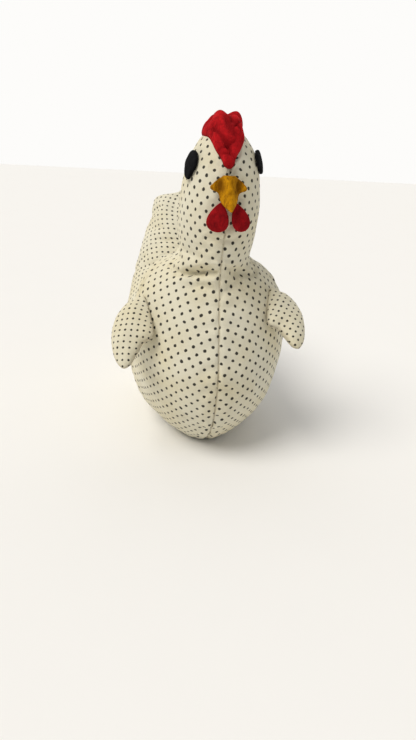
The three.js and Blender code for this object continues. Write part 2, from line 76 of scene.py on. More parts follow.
# Body stations from the top of the head down the breast, along the belly and up to the tail top.
# Each: outer curve y, z | saddle-side curve y, z | half width, fullness towards the saddle, lean.
STATIONS = np.array([
    [-17, 131, -17, 131, 0, 0, 1.4],
    [-22.5, 129.9, -11, 130.1, 4.4, 0, 1.3],
    [-28, 126, -5.5, 126.6, 8.8, 0, 1.1],
    [-32, 119.5, -1.5, 120.5, 12.3, 0, 1.2],
    [-35, 111, 1.5, 112, 14.2, 0, 0.9],
    [-36.6, 101, 3.2, 102, 15, 0, 0.6],
    [-36, 92, 3.4, 94, 14.5, 0, 0.2],
    [-34, 84, 3.6, 88, 14.4, 0, 0.1],
    [-33, 76.5, 5, 83, 17.7, 0.05, 0.1],
    [-35.5, 68, 8, 78.5, 23.5, 0.12, 0.1],
    [-41, 56, 12, 74.5, 28.5, 0.14, 0],
    [-45, 38, 16, 71, 31.8, 0.14, 0],
    [-39, 17, 20, 69, 32.5, 0.12, 0],
    [-22, 1.2, 24, 68, 33.2, 0.12, 0],
    [0, -3.4, 28, 68, 34, 0.12, 0],
    [20, -2.6, 32, 69, 35, 0.12, 0],
    [39, 5, 36, 71, 35, 0.1, 0],
    [55, 19, 39.5, 74.5, 33.5, 0.06, -0.3],
    [65.5, 37.5, 43, 79.5, 30.5, 0.03, -1.5],
    [72.5, 56, 47.5, 85.5, 25.5, 0, -3.2],
    [77, 75, 54, 92.5, 20.5, 0, -4.6],
    [77, 89, 61.5, 98.5, 15.8, 0, -5.0],
    [70.5, 96.5, 70.5, 96.5, 0, 0, -5.0],
], float)
# Seam between the front and back panels: place along the stations, angle round the body in degrees.
SIDE_SEAM = np.array([
    [0.615, 50], [0.59, 73], [0.55, 88], [0.5, 92], [0.465, 94],
    [0.442, 100], [0.425, 115], [0.41, 140], [0.402, 162], [0.4, 180],
], float)
BASE_JOIN = 0.632  # place along the stations where the side seam meets the base
BASE_SHARE = 5 / 19  # share of a panel's rim that lies along the base
SIDE_SHIFT = 0.5  # the panels stand this far out at the sides

PANEL_ROWS, PANEL_COLUMNS = 169, 121  # one more than a multiple of the flattening step
FLATTEN_STEP = 4
CLOTH = 0.6

CROWN_CENTRE = np.array([1.6, -17, 104])  # ellipsoid that follows the top of the head
CROWN_SIZE = np.array([16.3, 19.8, 27.4])
COMB_SLOPE = (37, 128)  # degrees from the face over the crown: forehead tip, back end
# Edges of the comb at even steps along it, in degrees sideways: the hen's right, the hen's left.
COMB_EDGES = np.array([
    [-6.4, 1.6], [-9.7, 3.6], [-13.6, 8.3], [-15.8, 11], [-17.5, 9.6], [-20, 11],
    [-20.8, 13], [-20, 11], [-18, 10], [-14, 8], [-8, 5],
], float)

# Outline of a wing, out from the root and forward along the root.
WING_OUTLINE = np.array([
    [0, -9], [3.4, -9.7], [7.6, -8], [12, -3.6], [15, 3.2], [16, 9.5],
    [15.6, 16], [13.4, 20.4], [10.2, 20], [7, 16.6], [3.4, 12.4], [0, 8.8],
], float)
WING_MIDDLE = np.array([7.2, 4.6])
WING_THICK = 4.6
WING_PRINT = 1.4  # the print is this much closer on the wings, and on the back
BACK_PRINT = 1.25
WING_CLOTH = 0.4
BODY_FILL_DEPTH = 5.2  # the filling lies this far inside the body's surface
STITCH_RINGS, STITCH_SIDES = 7, 6
WINGS = (
    ("left", 1, 0.85, 6.0),  # side, scale, droop in degrees
    ("right", -1, 0.95, 20.0),
)

# Eyes: side, place along the stations and round from the breast line in degrees, width and height.
EYES = (
    ("left", 1, (0.141, 66), (7.4, 8.4)),
    ("right", -1, (0.152, 66), (7.4, 10.2)),
)
EYE_THICK = 1.2


# ---- Settings ----


def colour_of(name, description, default):
    """A colour setting, kept as sRGB hex."""
    return StringProperty(name=name, description=description + ", sRGB hex", default=default)


def length_of(name, description, default):
    """A length setting, given in millimetres."""
    return FloatProperty(
        name=name, description=description, default=default * MM, unit="LENGTH", subtype="DISTANCE"
    )


class HenCottonSettings(bpy.types.PropertyGroup):
    cream: colour_of("Cream", "Main colour of the cotton", "#E0DBC6")
    warm: colour_of("Warm cream", "Yellower parts of the cotton", "#D9CEAA")
    # Painted shade: the seam grooves and the gaps between threads are darkened towards this colour.
    shade: colour_of("Seam shade", "Cotton in the seam grooves", "#9C8F78")
    ink: colour_of("Dot ink", "Printed dots", "#0F0D10")
    dot: length_of("Dot width", "Across one dot", 1.26)
    pitch: length_of("Dot spacing", "Centre to centre", 3.4)
    seam_depth: length_of("Seam depth", "How far a seam is drawn in", 0.42)


class HenFeltSettings(bpy.types.PropertyGroup):
    comb: colour_of("Comb", "Comb felt", "#C2191F")
    # Darker comb fibres, and also the painted shade in the comb's folds and on its underside.
    comb_deep: colour_of("Comb folds", "Deep folds of the comb", "#7A0A10")
    wattle: colour_of("Wattles", "Wattle felt", "#9E141A")
    wattle_deep: colour_of("Wattle shade", "Darker wattle fibres", "#6A0A10")
    beak: colour_of("Beak", "Beak felt", "#C98C0C")
    # Darker beak fibres, and also the painted shade in the beak's hollows, along its edges and on its
    # underside.
    beak_deep: colour_of("Beak shade", "Darker beak fibres", "#6E4303")
    eye: colour_of("Eyes", "Eye felt", "#17171A")
    eye_deep: colour_of("Eye shade", "Darker eye fibres", "#08080A")


class HenStageSettings(bpy.types.PropertyGroup):
    floor: colour_of("Floor", "Floor colour", "#F1F0EE")
    lens: FloatProperty(name="Lens", description="Focal length in millimetres", default=26.5)
    camera: FloatVectorProperty(
        name="Camera",
        description="Place of the camera",
        default=(-34.01 * MM, -233.06 * MM, 129.65 * MM),
        subtype="TRANSLATION",
    )
    aim: FloatVectorProperty(
        name="Aim",
        description="Point the camera looks at",
        default=(1 * MM, -12 * MM, 30 * MM),
        subtype="TRANSLATION",
    )
    roll: FloatProperty(
        name="Roll", description="Turn of the camera", default=math.radians(3.5), subtype="ANGLE"
    )


# ---- Curves and surfaces ----


def smoothstep(x):
    """0 below 0, 1 above 1, and 3x² - 2x³ between."""
    x = np.clip(x, 0, 1)
    return x * x * (3 - 2 * x)


def bell(x, width):
    """Falls from 1 at x = 0 as e to the minus (x / width) squared."""
    return np.exp(-((np.asarray(x) / width) ** 2))


def unit(v):
    """Vectors scaled to length 1."""
    return v / np.maximum(np.linalg.norm(v, axis=-1, keepdims=True), 1e-9)


def through(points, t, closed=False):
    """Uniform Catmull-Rom curve through the points, t from 0 to 1. An open end leaves along its chord."""
    if closed:
        p = np.vstack([points[-1:], points, points[:2]])
    else:
        p = np.vstack([2 * points[:1] - points[1:2], points, 2 * points[-1:] - points[-2:-1]])
    count = len(points) if closed else len(points) - 1
    s = np.clip(t, 0, 1) * count
    i = np.minimum(s.astype(int), count - 1)
    w = (s - i)[..., None]
    a, b, c, d = p[i], p[i + 1], p[i + 2], p[i + 3]
    return b + 0.5 * w * (c - a + w * (2 * a - 5 * b + 4 * c - d + w * (3 * (b - c) + d - a)))


def skin(t, angle):
    """Outside of the body: an oval rib at place t, between the outer curve (angle 0) and the saddle curve
    (180 degrees), as wide as the station says and wider towards the saddle by its fullness."""
    t, angle = np.broadcast_arrays(np.asarray(t, float), np.asarray(angle, float))
    s = through(STATIONS, t)
    c = np.cos(angle)
    across = np.maximum(s[..., 4], 0) * np.sin(angle) * (1 - s[..., 5] * c)
    y = (s[..., 0] + s[..., 2]) / 2 + (s[..., 0] - s[..., 2]) / 2 * c
    z = (s[..., 1] + s[..., 3]) / 2 + (s[..., 1] - s[..., 3]) / 2 * c
    return np.stack([s[..., 6] + across + SIDE_SHIFT * np.sin(angle), y, z], -1)


def skin_normal(t, angle):
    """Unit vector out of the body: the cross product of steps round and along it. A pole points outwards."""
    t, angle = np.broadcast_arrays(np.asarray(t, float), np.asarray(angle, float))
    step = 0.002
    safe = np.clip(t, 0.004, 0.996)
    along = skin(safe + step, angle) - skin(safe - step, angle)
    round_it = skin(safe, angle + step) - skin(safe, angle - step)
    normal = unit(np.cross(along, round_it))
    for pole, near in ((0.0, 0.03), (1.0, 0.97)):
        middle = (skin(near, 0.0) + skin(near, math.pi)) / 2
        tip = unit(skin(pole, 0.0) - middle)
        share = smoothstep(1 - np.abs(t - pole) / 0.012)[..., None]
        normal = unit(normal * (1 - share) + tip * share)
    return normal


def waves(points, length, seed, count=7):
    """Soft lumps from -1 to 1: a sum of sine waves of about that length, in directions from the seed."""
    draw = np.random.default_rng(seed)
    directions = unit(draw.normal(size=(count, 3)))
    lengths = length * draw.uniform(0.7, 1.4, count)
    phases = draw.uniform(0, 2 * math.pi, count)
    return np.sin(points @ (directions / lengths[:, None]).T * 2 * math.pi + phases).mean(-1) * 1.6


def folds(points, length, seed):
    """Creases from 0 to 1: one minus the size of soft lumps, which peaks sharply where they change sign."""
    return 1 - np.minimum(np.abs(waves(points, length, seed)) * 1.4, 1)


def grid_faces(rows, columns, looped=False):
    """Quads between the neighbours of a grid; looped joins the last column to the first."""
    i = np.arange(rows - 1)[:, None]
    j = np.arange(columns if looped else columns - 1)[None, :]
    k = (j + 1) % columns
    quads = [i * columns + j, i * columns + k, (i + 1) * columns + k, (i + 1) * columns + j]
    return np.stack(np.broadcast_arrays(*quads), -1).reshape(-1, 4)


def faces_out(points, normals):
    """Quads of a grid in the order that makes them look the way of the normals, on the whole."""
    faces = grid_faces(*points.shape[:2])
    corners = points.reshape(-1, 3)[faces]
    facing = np.cross(corners[:, 2] - corners[:, 0], corners[:, 3] - corners[:, 1])
    agree = (facing * normals.reshape(-1, 3)[faces[:, 0]]).sum() > 0
    return faces if agree else faces[:, ::-1]


def face_along(obj, direction):
    """Turns a piece's faces to look the way of a direction, on the whole."""
    total = sum((p.normal * p.area for p in obj.data.polygons), Vector())
    if total.dot(Vector(direction)) < 0:
        obj.data.flip_normals()


def make_piece(name, points, faces, uv=None, values=None, outward=True):
    """A smooth mesh in metres from points in millimetres. Equal points are joined, and faces turned out."""
    mesh = bpy.data.meshes.new(name)
    mesh.from_pydata((np.asarray(points).reshape(-1, 3) * MM).tolist(), [], faces.tolist())
    corner = np.zeros(len(mesh.loops), np.int32)
    mesh.loops.foreach_get("vertex_index", corner)
    if uv is not None:
        layer = mesh.uv_layers.new(name="cloth")
        layer.data.foreach_set("uv", np.asarray(uv).reshape(-1, 2)[corner].astype(np.float32).ravel())
    for key, value in (values or {}).items():
        attribute = mesh.attributes.new(key, "FLOAT", "POINT")
        attribute.data.foreach_set("value", np.asarray(value, np.float32).ravel())
    obj = bpy.data.objects.new(name, mesh)
    bpy.context.scene.collection.objects.link(obj)
    join_points(mesh, outward)
    mesh.shade_smooth()
    return obj


def join_points(mesh, outward):
    """Joins points nearer than 2 thousandths of a millimetre, drops empty faces and makes the faces agree."""
    work = bmesh.new()
    work.from_mesh(mesh)
    bmesh.ops.remove_doubles(work, verts=work.verts, dist=0.002 * MM)
    bmesh.ops.dissolve_degenerate(work, dist=0.0005 * MM, edges=work.edges)
    if outward:
        bmesh.ops.recalc_face_normals(work, faces=work.faces)
    work.to_mesh(mesh)
    work.free()


def closed_rings(rings):
    """Points and faces of rings joined one to the next, each end drawn to its middle."""
    ends = [np.repeat(ring.mean(0, keepdims=True), rings.shape[1], 0)[None] for ring in (rings[0], rings[-1])]
    full = np.concatenate([ends[0], rings, ends[1]])
    return full.reshape(-1, 3), grid_faces(*full.shape[:2], looped=True)


def make_sheet(name, top, under, painted_shade):
    """A thick sheet from its upper and lower grids, with painted shade over its folds on the upper side and
    over the whole of its underside.
    """
    points, faces = closed_rings(np.concatenate([top, under[:, ::-1]], 1))
    painted_shades = np.concatenate([painted_shade, np.ones_like(painted_shade)], 1)
    return make_piece(name, points, faces, values={"painted_shade": np.vstack([painted_shades[:1], painted_shades, painted_shades[-1:]])})


# ---- Materials ----


def linear(hex_colour):
    """Linear RGBA of an sRGB hex colour."""
    parts = [int(hex_colour[k:k + 2], 16) / 255 for k in (1, 3, 5)]
    return [c / 12.92 if c <= 0.04045 else ((c + 0.055) / 1.055) ** 2.4 for c in parts] + [1.0]


def add_node(tree, kind, inputs=None, out=0, **settings):
    """Adds a shader node, sets its properties, gives each input a value or a link, and returns one output."""
    made = tree.nodes.new("ShaderNode" + kind)
    for key, value in settings.items():
        setattr(made, key, value)
    for key, value in (inputs or {}).items():
        if isinstance(value, bpy.types.NodeSocket):
            tree.links.new(value, made.inputs[key])
        else:
            made.inputs[key].default_value = value
    return made.outputs[out]


def new_material(name, roughness, sheen, sheen_tint, sheen_roughness=0.5, specular=0.25):
    """A material whose constants are set on its shader's own sockets. Returns the material, the node function
    for its tree, and one that links an output to the shader."""
    material = bpy.data.materials.new(name)
    material.use_nodes = True
    tree = material.node_tree
    shader = next(n for n in tree.nodes if n.type == "BSDF_PRINCIPLED")
    constants = {
        "Roughness": roughness,
        "IOR": 1.5,
        "Specular IOR Level": specular,
        "Sheen Weight": sheen,
        "Sheen Tint": sheen_tint,
        "Sheen Roughness": sheen_roughness,
    }
    for key, value in constants.items():
        shader.inputs[key].default_value = value
    return material, partial(add_node, tree), lambda output, key: tree.links.new(output, shader.inputs[key])


def printed_cotton(name="cotton_plain_woven_printed"):
    """Quilting cotton, plain woven and screen printed: matt, faintly fuzzy, with inky dots whose edges follow
    the threads. The grooves at the seams and the gaps between threads are painted darker as shade, and the
    cloth yellows in soft patches."""
    s = bpy.context.scene.hen_cotton
    material, add, link = new_material(name, 0.92, 0.12, linear("#FFF8E8"), specular=0.18)
    uv = add("UVMap", uv_map="cloth")
    place = add("TexCoord", out="Object")
    pitch, radius = s.pitch / MM, s.dot / MM / 2
    mix = {"data_type": "RGBA", "out": 2}
    smooth = {"interpolation_type": "SMOOTHSTEP"}

    # Ink edge: waves of 0.9 mm, the length of two or three threads, move it by up to 0.14 mm.
    ragged = add("TexNoise", {"Vector": uv, "Scale": 1 / 0.9, "Detail": 1.0}, 1, noise_dimensions="2D")
    moved = add("VectorMath", {0: ragged, 1: (0.5, 0.5, 0.5)}, operation="SUBTRACT")
    moved = add("VectorMath", {0: moved, "Scale": 0.28}, operation="SCALE")
    moved = add("VectorMath", {0: uv, 1: moved}, operation="ADD")
    cell = add("VectorMath", {0: moved, "Scale": 1 / pitch}, operation="SCALE")
    part = add("VectorMath", {0: cell}, operation="FRACTION")
    part = add("VectorMath", {0: part, 1: (0.5, 0.5, 0)}, operation="SUBTRACT")
    part = add("VectorMath", {0: part, 1: (1, 1, 0)}, operation="MULTIPLY")
    away = add("VectorMath", {0: part}, "Value", operation="LENGTH")
    away = add("Math", {0: away, 1: pitch}, operation="MULTIPLY")
    each = add("VectorMath", {0: cell}, operation="FLOOR")
    luck = add("TexWhiteNoise", {"Vector": each}, noise_dimensions="2D")
    size = add("Math", {0: luck, 1: 0.14, 2: radius - 0.07}, operation="MULTIPLY_ADD")
    over = add("Math", {0: away, 1: size}, operation="SUBTRACT")
    ink = add("MapRange", {0: over, 1: -0.09, 2: 0.09, 3: 1.0, 4: 0.0}, **smooth)
    ink = add("Math", {0: ink, 1: 0.95}, operation="MULTIPLY")

    # Threads are 0.25 mm apart in the real cloth, drawn 0.5 mm apart so that they show.
    wave = {"Vector": uv, "Scale": 0.31416 / 0.5, "Distortion": 0.6, "Detail": 1.0}
    weave = [add("TexWave", wave, 1, bands_direction=direction) for direction in ("X", "Y")]
    threads = add("Math", {0: weave[0], 1: weave[1]}, operation="MULTIPLY")

    # Patches of 22 mm, warm and cool.
    patch = add("TexNoise", {"Vector": place, "Scale": 1 / 0.022, "Detail": 3.0, "Roughness": 0.6})
    patch = add("MapRange", {0: patch, 1: 0.4, 2: 0.72})
    patch = add("Math", {0: patch, 1: 0.75}, operation="MULTIPLY")
    colour = add("Mix", {0: patch, 6: linear(s.cream), 7: linear(s.warm)}, **mix)
    # Painted shade: the gaps between threads are mixed a little towards the seam shade colour.
    between = add("Math", {0: threads, 1: -0.07, 2: 0.07}, operation="MULTIPLY_ADD")
    colour = add("Mix", {0: between, 6: colour, 7: linear(s.shade)}, **mix)
    # Painted shade: within 0.7 mm of a seam the cloth is darkened towards the seam shade colour, in its
    # groove.
    near = add("Attribute", out="Fac", attribute_name="seam")
    groove = add("MapRange", {0: near, 1: 0.0, 2: 0.7, 3: 0.4, 4: 0.0}, **smooth)
    colour = add("Mix", {0: groove, 6: colour, 7: linear(s.shade)}, **mix)
    link(add("Mix", {0: ink, 6: colour, 7: linear(s.ink)}, **mix), "Base Color")

    # Creases of 5 mm lie over the threads.
    crease = add("TexNoise", {"Vector": place, "Scale": 1 / 0.005, "Detail": 2.0})
    bump = add("Bump", {"Strength": 0.25, "Distance": 0.5 * MM, "Height": crease})
    link(add("Bump", {"Strength": 0.2, "Distance": 0.12 * MM, "Height": threads, "Normal": bump}), "Normal")
    return material


def wool_felt(name, light, deep, sheen=0.35):
    """Thick wool felt, matted and hand cut: very matt, short fibres on top, darker wool mottled through it,
    and painted shade on the folds, hollows and undersides that a piece marks.
    """
    material, add, link = new_material(name, 0.98, sheen, linear(light), 0.6, 0.1)
    mix = {"data_type": "RGBA", "out": 2}
    place = add("TexCoord", out="Object")
    combed = add("Mapping", {"Vector": place, "Rotation": (0.5, 0.3, 0.9), "Scale": (1, 1, 0.35)})
    # Fibre clumps of 0.8 mm and mats of 3 mm.
    clump = {"Vector": combed, "Scale": 1 / 0.0008, "Detail": 6.0, "Roughness": 0.7, "Distortion": 0.8}
    fibre = add("TexNoise", clump)
    mat = add("TexNoise", {"Vector": place, "Scale": 1 / 0.003, "Detail": 3.0, "Roughness": 0.6})
    parts = [add("Math", {0: n, 1: part}, operation="MULTIPLY") for n, part in ((fibre, 0.55), (mat, 0.45))]
    both = add("Math", {0: parts[0], 1: parts[1]}, operation="ADD")
    share = add("MapRange", {0: both, 1: 0.36, 2: 0.6})
    colour = add("Mix", {0: share, 6: linear(deep), 7: linear(light)}, **mix)
    # Painted shade: the folds, hollows and undersides that a piece marks are darkened towards the deep
    # colour.
    painted_shade = add("Attribute", out="Fac", attribute_name="painted_shade")
    painted_shade = add("Math", {0: painted_shade, 1: 0.92}, operation="MULTIPLY")
    link(add("Mix", {0: painted_shade, 6: colour, 7: linear(deep)}, **mix), "Base Color")
    bump = add("Bump", {"Strength": 0.7, "Distance": 0.5 * MM, "Height": mat})
    link(add("Bump", {"Strength": 0.6, "Distance": 0.25 * MM, "Height": fibre, "Normal": bump}), "Normal")
    return material


def plain_fibre(name, light, deep, scale_mm, sheen=0.2):
    """Spun or loose polyester: soft white fibres with a slight gloss, mottled where they bunch."""
    material, add, link = new_material(name, 0.7, sheen, linear(light))
    place = add("TexCoord", out="Object")
    bunch = add("TexNoise", {"Vector": place, "Scale": 1 / (scale_mm * MM), "Detail": 4.0})
    link(add("Mix", {0: bunch, 6: linear(deep), 7: linear(light)}, 2, data_type="RGBA"), "Base Color")
    link(add("Bump", {"Strength": 0.5, "Distance": scale_mm * 0.2 * MM, "Height": bunch}), "Normal")
    return material


def shared(name, make, *args):
    """The material of that name, made the first time it is asked for."""
    return bpy.data.materials.get(name) or make(name, *args)


def cotton():
    """Printed cotton of the cover, the base and the wings."""
    return shared("cotton_plain_woven_printed", printed_cotton)


def loose_fibre():
    """Filling of the body and the wings."""
    return shared("filling_polyester_fibre", plain_fibre, "#F6F4EE", "#D9D6CE", 3.0)


def finish_piece(obj, material, slot, *nodes):
    """Gives a piece its material and hides the CAD nodes it stands for. The slot is not used."""
    obj.data.materials.append(material)
    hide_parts(*nodes)
    return obj


# ---- Cover ----


def base_angle(t):
    """Angle at which the rib at t meets level 0."""
    s = through(STATIONS, np.asarray(t, float))
    return np.arccos(np.clip((s[..., 1] + s[..., 3]) / (s[..., 3] - s[..., 1]), -1, 1))


def base_end(start, stop):
    """Place where the outer curve comes down to level 0, between start (above it) and stop (below it)."""
    t = np.linspace(start, stop, 2001)
    height = through(STATIONS, t)[:, 1]
    return float(np.interp(0, -height, t))


BASE_FRONT = base_end(0.55, 0.636)
BASE_BACK = base_end(0.73, 0.66)


def base_outline(count):
    """The hen's left half of the foot's outline, from front to back, with points closer at its ends."""
    t = BASE_FRONT + (BASE_BACK - BASE_FRONT) * (0.5 - 0.5 * np.cos(np.linspace(0, math.pi, count)))
    angle = base_angle(t)
    angle[[0, -1]] = 0
    return skin(t, angle)[:, :2]


def seam_place(w):
    """Place and angle on the side seam, w of its length up from the base."""
    foot = [BASE_JOIN, float(base_angle(BASE_JOIN))]
    stops = np.vstack([foot, np.c_[SIDE_SEAM[:, 0], np.radians(SIDE_SEAM[:, 1])]])
    dense = np.linspace(0, 1, 2001)
    along = through(stops, dense)
    trace = skin(along[:, 0], along[:, 1])
    length = np.r_[0, np.cumsum(np.linalg.norm(np.diff(trace, axis=0), axis=1))]
    return through(stops, np.interp(np.asarray(w) * length[-1], length, dense))


def rim(start, columns):
    """Edge of a panel, from the centre line, round the base to the side seam and up to the saddle."""
    v = np.linspace(0, 1, columns)
    on_base = v < BASE_SHARE
    t_base = start + (BASE_JOIN - start) * (v / BASE_SHARE) ** 2
    base = np.stack([t_base, np.where(v == 0, 0, base_angle(np.clip(t_base, 0, 1)))], -1)
    seam = seam_place(np.clip((v - BASE_SHARE) / (1 - BASE_SHARE), 0, 1))
    return np.where(on_base[:, None], base, seam)


def panel_places(start, pole, rows, columns):
    """Places and angles over a panel: rows run from its pole to its rim, columns from the outer centre seam
    to the saddle."""
    edge = rim(start, columns)
    u = np.linspace(0, 1, rows)[:, None]
    even = np.linspace(0, math.pi, columns)[None, :]
    spread = smoothstep(u)
    return pole + (edge[None, :, 0] - pole) * u, even * (1 - spread) + edge[None, :, 1] * spread


def run_length(points, axis):
    """Length along the grid lines, from their first point."""
    steps = np.linalg.norm(np.diff(points, axis=axis), axis=-1)
    start = np.zeros_like(np.take(steps, [0], axis=axis))
    return np.concatenate([start, np.cumsum(steps, axis=axis)], axis=axis)


def seam_distance(points):
    """Distance over the cloth to the nearest edge of the panel, and the length along that edge."""
    across, along = run_length(points, 1), run_length(points, 0)
    to_edges = np.stack([across, across[:, -1:] - across, along[-1:, :] - along])
    run = np.stack([along, along + 40, across + 90])
    nearest = to_edges.argmin(0)[None]
    return np.take_along_axis(to_edges, nearest, 0)[0], np.take_along_axis(run, nearest, 0)[0]


def refine(grid, rows, columns):
    """Values on a coarse grid carried to a finer one, by smooth curves through the columns, then the rows."""
    high, wide, size = grid.shape
    tall = through(grid.reshape(high, -1), np.linspace(0, 1, rows)).reshape(rows, wide, size)
    flat = through(np.swapaxes(tall, 0, 1).reshape(wide, -1), np.linspace(0, 1, columns))
    return np.swapaxes(flat.reshape(columns, rows, size), 0, 1)


def cut_pattern(points):
    """The panel laid flat with the least stretch, as millimetres on the cloth. It is worked out on every
    fourth point, and the rest are taken between them."""
    coarse = points[::FLATTEN_STEP, ::FLATTEN_STEP]
    rows, columns = coarse.shape[:2]
    body = coarse[1:].reshape(-1, 3)
    faces = grid_faces(rows - 1, columns)
    tip = len(body)
    fan = [[tip, j + 1, j] for j in range(columns - 1)]
    mesh = bpy.data.meshes.new("pattern")
    mesh.from_pydata(np.vstack([body, coarse[:1, 0]]).tolist(), [], faces[:, ::-1].tolist() + fan)
    mesh.uv_layers.new(name="cloth")
    obj = bpy.data.objects.new("pattern", mesh)
    bpy.context.scene.collection.objects.link(obj)
    bpy.context.view_layer.objects.active = obj
    obj.select_set(True)
    bpy.ops.object.mode_set(mode="EDIT")
    bpy.ops.mesh.select_all(action="SELECT")
    bpy.ops.uv.unwrap(method="MINIMUM_STRETCH", iterations=30)
    bpy.ops.object.mode_set(mode="OBJECT")
    mesh = obj.data
    corner = np.zeros(len(mesh.loops), np.int32)
    mesh.loops.foreach_get("vertex_index", corner)
    flat = np.zeros(len(mesh.loops) * 2, np.float32)
    mesh.uv_layers["cloth"].data.foreach_get("uv", flat)
    uv = np.zeros((len(mesh.vertices), 2))
    uv[corner] = flat.reshape(-1, 2)
    quads = uv[faces]
    uv_area = np.abs(np.cross(quads[:, 2] - quads[:, 0], quads[:, 3] - quads[:, 1])).sum() / 2
    solid = body[faces]
    area = np.linalg.norm(np.cross(solid[:, 2] - solid[:, 0], solid[:, 3] - solid[:, 1]), axis=-1).sum() / 2
    uv *= math.sqrt(area / uv_area)
    bpy.data.objects.remove(obj)
    bpy.data.meshes.remove(mesh)
    pole = np.repeat(uv[tip][None, None], columns, 1)
    grid = np.concatenate([pole, uv[:tip].reshape(rows - 1, columns, 2)])
    return refine(grid, *points.shape[:2])


def turn_pattern(uv, points, place, direction, offset):
    """Turns a cutting pattern so that the rows of dots run in that direction at that place on the body, and
    sizes it so that they have their true spacing there."""
    away = np.linalg.norm(points - place, axis=-1)
    near = away < 9
    local = np.c_[points[near] - place, np.ones(near.sum())]
    fit = np.linalg.lstsq(local, uv[near], rcond=None)[0]
    row = direction @ fit[:3]
    turn = math.atan2(row[1], row[0])
    c, s = math.cos(turn), math.sin(turn)
    cell = np.stack([points[1:, :-1] - points[:-1, :-1], points[:-1, 1:] - points[:-1, :-1]])
    flat = np.stack([uv[1:, :-1] - uv[:-1, :-1], uv[:-1, 1:] - uv[:-1, :-1]])
    inside = near[:-1, :-1]
    solid_area = np.linalg.norm(np.cross(cell[0], cell[1]), axis=-1)[inside].sum()
    flat_area = np.abs(flat[0, ..., 0] * flat[1, ..., 1] - flat[0, ..., 1] * flat[1, ..., 0])[inside].sum()
    return uv @ np.array([[c, -s], [s, c]]) * math.sqrt(solid_area / flat_area) + offset


def cover_relief(points, t, angle, depth, front):
    """How far the cloth stands off the body's smooth form: lumps of filling, a groove at each seam with
    puckers across it, a sharp pressed crease at the neck and soft folds at the tail."""
    away, run = seam_distance(points)
    lumps = 0.4 * waves(points, 24, 3) + 0.16 * waves(points, 9, 5)
    calm = smoothstep(away / 6)
    ripple = 0.38 * np.sin(run / 1.15 + 1.8 * np.sin(run / 7.3))
    pucker = ripple * (0.55 + 0.45 * np.sin(run / 11 + 1)) * np.exp(-away / 2.6)
    pucker = pucker * smoothstep(away / 0.8)
    groove = -depth * np.exp(-((away / 0.75) ** 1.4)) + 0.2 * bell(away - 2.6, 2.0)
    relief = lumps * calm + pucker + groove
    if front:
        turn = np.degrees(angle)
        z = points[..., 2]
        right = smoothstep((-turn - 1) / 5) * (1 - smoothstep((-turn - 38) / 22))
        bend = z - (79.6 + 0.05 * turn)
        crease = -2.3 * bell(bend, 1.0) + 1.5 * bell(bend + 2.3, 1.7) + 0.5 * bell(bend - 3.5, 2.2)
        relief = relief + right * crease
        left = smoothstep((turn - 18) / 12) * (1 - smoothstep((turn - 70) / 30))
        bend = z - (80.5 + 0.12 * (turn - 40))
        relief = relief + left * (-1.0 * bell(bend, 2.1) + 0.5 * bell(bend + 4, 3))
        pressed = smoothstep((-turn - 2) / 6) * (1 - smoothstep((-turn - 26) / 10))
        relief = relief - 0.28 * pressed * bell(z - 20.5 - 0.05 * turn, 0.9)
    else:
        fold = folds(points * [0.6, 1, 1], 26, 11) ** 3
        relief = relief - 0.5 * fold * smoothstep((t - 0.72) / 0.1) * calm
    return relief, away


def puff_cover(panels):
    """Fills the sewn cover: the four panels, joined at their seams and drawn in a little between them, are
    let out by cloth simulation under pressure while the seams are held. The cloth is cut a little large, so
    that it gathers along them. Adds to each panel how far every point moved, never more than the cap."""
    step, draw_in, cap, spare, pressure, last_frame = 2, 1.5, 2.2, -0.045, 4.0, 20
    enlarge = 0.01  # a millimetre is simulated as a centimetre, because the limits are made for larger things
    starts, faces, held, count = [], [], [], 0
    for p in panels:
        away = p["away"][::step, ::step]
        drawn = p["normals"] * (draw_in * smoothstep(p["away"] / 9))[..., None]
        start = (p["points"] - drawn)[::step, ::step]
        rows, columns = away.shape
        faces.append(faces_out(start, p["normals"][::step, ::step]) + count)
        starts.append(start.reshape(-1, 3))
        held.append((away < 0.05).ravel())
        count += rows * columns
    points, held = np.vstack(starts), np.concatenate(held)
    _, first, joined = np.unique(np.round(points, 2), axis=0, return_index=True, return_inverse=True)
    joined = joined.ravel()
    quads = joined[np.vstack(faces)]
    solid = [[k for n, k in enumerate(q) if k != q[n - 1]] for q in quads.tolist()]
    mesh = bpy.data.meshes.new("puffed")
    mesh.from_pydata((points[first] * enlarge).tolist(), [], solid)
    obj = bpy.data.objects.new("puffed", mesh)
    bpy.context.scene.collection.objects.link(obj)
    pins = obj.vertex_groups.new(name="sewn")
    pins.add(np.unique(joined[held]).tolist(), 1.0, "REPLACE")
    cloth = obj.modifiers.new("cloth", "CLOTH")
    cloth.settings.quality = 6
    cloth.settings.mass = 0.3
    cloth.settings.bending_stiffness = 0.4
    cloth.settings.tension_stiffness = 20
    cloth.settings.compression_stiffness = 20
    cloth.settings.use_pressure = True
    cloth.settings.uniform_pressure_force = pressure
    cloth.settings.shrink_min = spare
    cloth.settings.vertex_group_mass = "sewn"
    cloth.settings.effector_weights.gravity = 0
    cloth.point_cache.frame_end = last_frame
    for number in range(1, last_frame + 1):
        bpy.context.scene.frame_set(number)
    ready = obj.evaluated_get(bpy.context.evaluated_depsgraph_get())
    places = np.zeros(len(ready.data.vertices) * 3, np.float32)
    ready.data.vertices.foreach_get("co", places)
    moved = places.reshape(-1, 3)[joined] / enlarge - points
    size = np.linalg.norm(moved, axis=-1, keepdims=True)
    moved = moved * (cap * np.tanh(size / cap) / np.maximum(size, 1e-6))
    bpy.context.scene.frame_set(1)
    bpy.data.objects.remove(obj)
    at = 0
    for p in panels:
        rows, columns = p["away"][::step, ::step].shape
        part = moved[at:at + rows * columns].reshape(rows, columns, 3)
        drawn = -p["normals"] * (draw_in * smoothstep(p["away"] / 9))[..., None]
        p["puff"] = refine(part, PANEL_ROWS, PANEL_COLUMNS) + drawn
        at += rows * columns


